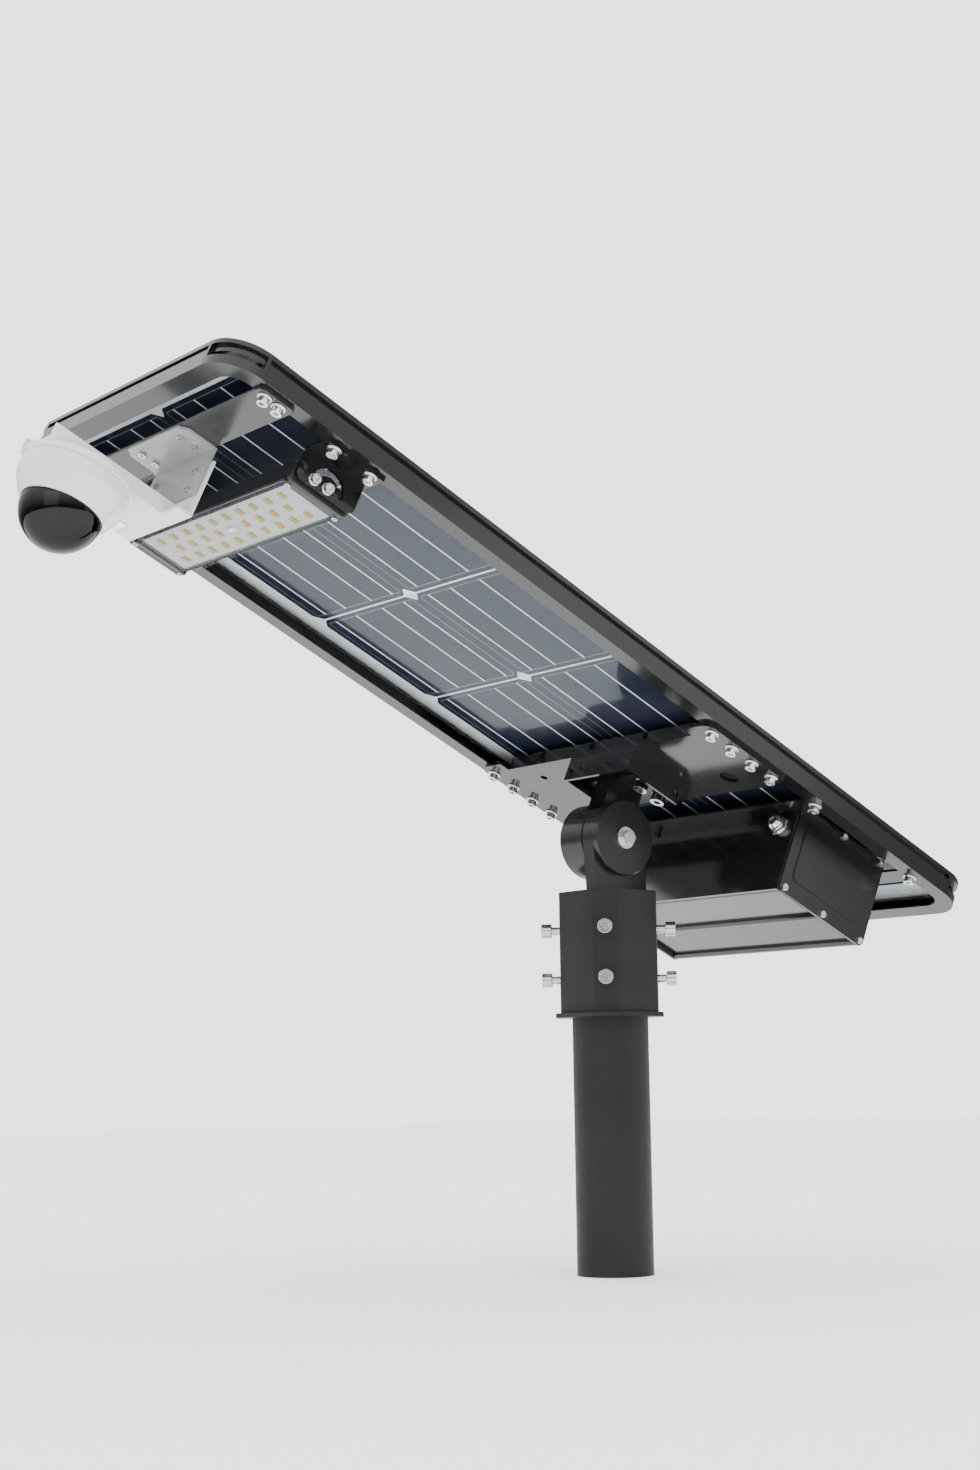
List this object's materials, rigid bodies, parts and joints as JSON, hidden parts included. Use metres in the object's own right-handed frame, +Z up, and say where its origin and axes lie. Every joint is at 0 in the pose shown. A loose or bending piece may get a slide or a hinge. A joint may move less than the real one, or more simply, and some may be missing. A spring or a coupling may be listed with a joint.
{
  "type": "solar street lamp head",
  "caption": "Solar panel in a black frame on a tilting pole knuckle, carrying a swinging LED flood lamp, a dome camera on a bracket and a battery box underneath",
  "frame": {"origin": "centre of the pole section's cut lower end, on the pole axis", "axes": "+Z up along the pole, +X towards the raised end of the panel with the lamp and camera, +Y towards the side the knuckle bolt is put in from"},
  "size_m": [1.0119, 0.3616, 0.804],
  "materials": {
    "pole_paint": "smooth dark grey paint",
    "sleeve_paint": "smooth dark grey paint",
    "zinc_screws": "bright zinc plate",
    "knuckle_paint": "gloss black powder coat",
    "fibre": "pressed fibre washer",
    "zinc_bolts": "bright zinc plate",
    "zinc_washers": "bright zinc plate",
    "bracket_paint": "gloss black powder coat",
    "frame_black": "black anodised aluminium",
    "corner_black": "black cast corner",
    "back_glass": "clear tempered glass",
    "front_glass": "clear textured glass",
    "solar_cells": "dark blue silicon",
    "encapsulant": "white film",
    "ribbons": "tinned copper ribbon",
    "junction_plastic": "black moulded plastic",
    "stainless_bolts": "stainless steel",
    "stainless_nuts": "stainless steel",
    "cross_paint": "grey gloss paint",
    "bracket_grey": "satin grey sheet",
    "bracket_white": "pale grey painted sheet",
    "small_screws": "stainless steel",
    "camera_white": "white moulded plastic",
    "dome_smoke": "smoked clear dome",
    "camera_dark": "black moulded plastic",
    "lens_glass": "coated glass",
    "lamp_black": "black anodised aluminium",
    "lamp_cap": "black powder coat",
    "board_white": "white solder mask",
    "phosphor": "yellow phosphor",
    "connector": "white moulded plastic",
    "gasket_rubber": "black rubber",
    "lamp_clear": "clear moulded cover",
    "lamp_bracket": "gloss black paint",
    "battery_grey": "dark grey extruded aluminium",
    "battery_plate": "black painted plate",
    "cell_wrap": "blue shrink wrap",
    "holder_plastic": "black moulded plastic",
    "controller_board": "green circuit board",
    "gland_metal": "nickel-plated brass"
  },
  "bodies": {
    "pole": {"pole_section": "pole_paint"},
    "sleeve": {"pole_sleeve": "sleeve_paint", "sleeve_set_screws": "zinc_screws", "knuckle_post": "knuckle_paint", "knuckle_disc": "knuckle_paint", "friction_washer": "fibre", "pivot_bolt": "zinc_bolts", "pivot_washers": "zinc_washers", "pivot_nut": "zinc_bolts"},
    "head": {"tilt_hub": "knuckle_paint", "mount_plate": "bracket_paint", "yoke_bracket": "bracket_paint", "yoke_bolts": "zinc_bolts", "yoke_nuts": "zinc_bolts", "frame_rail_near": "frame_black", "frame_rail_far": "frame_black", "frame_rail_front": "frame_black", "frame_rail_rear": "frame_black", "frame_corners": "corner_black", "back_glass": "back_glass", "front_glass": "front_glass", "solar_cells": "solar_cells", "encapsulant_sheet": "encapsulant", "tab_ribbons": "ribbons", "junction_box": "junction_plastic", "flange_bolts": "stainless_bolts", "flange_nuts": "stainless_nuts", "front_cross_plate": "cross_paint", "camera_bracket": "bracket_grey", "camera_arm": "bracket_white", "camera_screws": "small_screws", "camera_bracket_nuts": "small_screws", "camera_base": "camera_white", "camera_housing": "camera_white", "camera_dome": "dome_smoke", "camera_chassis": "camera_dark", "lamp_bracket_near": "lamp_bracket", "lamp_bracket_far": "lamp_bracket", "battery_case": "battery_grey", "battery_gaskets": "gasket_rubber", "battery_end_plates": "battery_plate", "battery_end_screws": "stainless_bolts", "battery_cells": "cell_wrap", "battery_cell_holder": "holder_plastic", "charge_controller": "controller_board", "battery_bars": "bracket_paint", "battery_bar_screws": "bracket_paint", "cable_gland": "gland_metal"},
    "lamp": {"lamp_heat_sink": "lamp_black", "lamp_end_caps": "lamp_cap", "lamp_board": "board_white", "led_emitters": "phosphor", "lamp_connector": "connector", "lamp_gasket": "gasket_rubber", "lamp_cover": "lamp_clear", "lamp_cover_screws": "small_screws", "lamp_side_bolts": "stainless_bolts"},
    "turret": {"camera_turret": "camera_dark"},
    "eye": {"camera_eye": "camera_dark", "camera_lens": "lens_glass"}
  },
  "joints": [
    {"name": "azimuth_swivel", "type": "hinge", "parent": "pole", "child": "sleeve", "pos_m": [0, 0, 0.371], "axis": [0, 0, 1], "range_deg": [-180, 180]},
    {"name": "head_tilt", "type": "hinge", "parent": "sleeve", "child": "head", "pos_m": [0, 0, 0.43], "axis": [0, 1, 0], "range_deg": [-20, 24.8]},
    {"name": "lamp_tilt", "type": "hinge", "parent": "head", "child": "lamp", "pos_m": [0.44211, 0, 0.69454], "axis": [0, -1, 0], "range_deg": [0, 170]},
    {"name": "camera_pan", "type": "hinge", "parent": "head", "child": "turret", "pos_m": [0.62118, 0, 0.67748], "axis": [-0.4195, 0, 0.9078], "range_deg": [-175, 175]},
    {"name": "camera_tilt", "type": "hinge", "parent": "turret", "child": "eye", "pos_m": [0.62118, 0, 0.67748], "axis": [0, 1, 0], "range_deg": [-45, 45]}
  ]
}
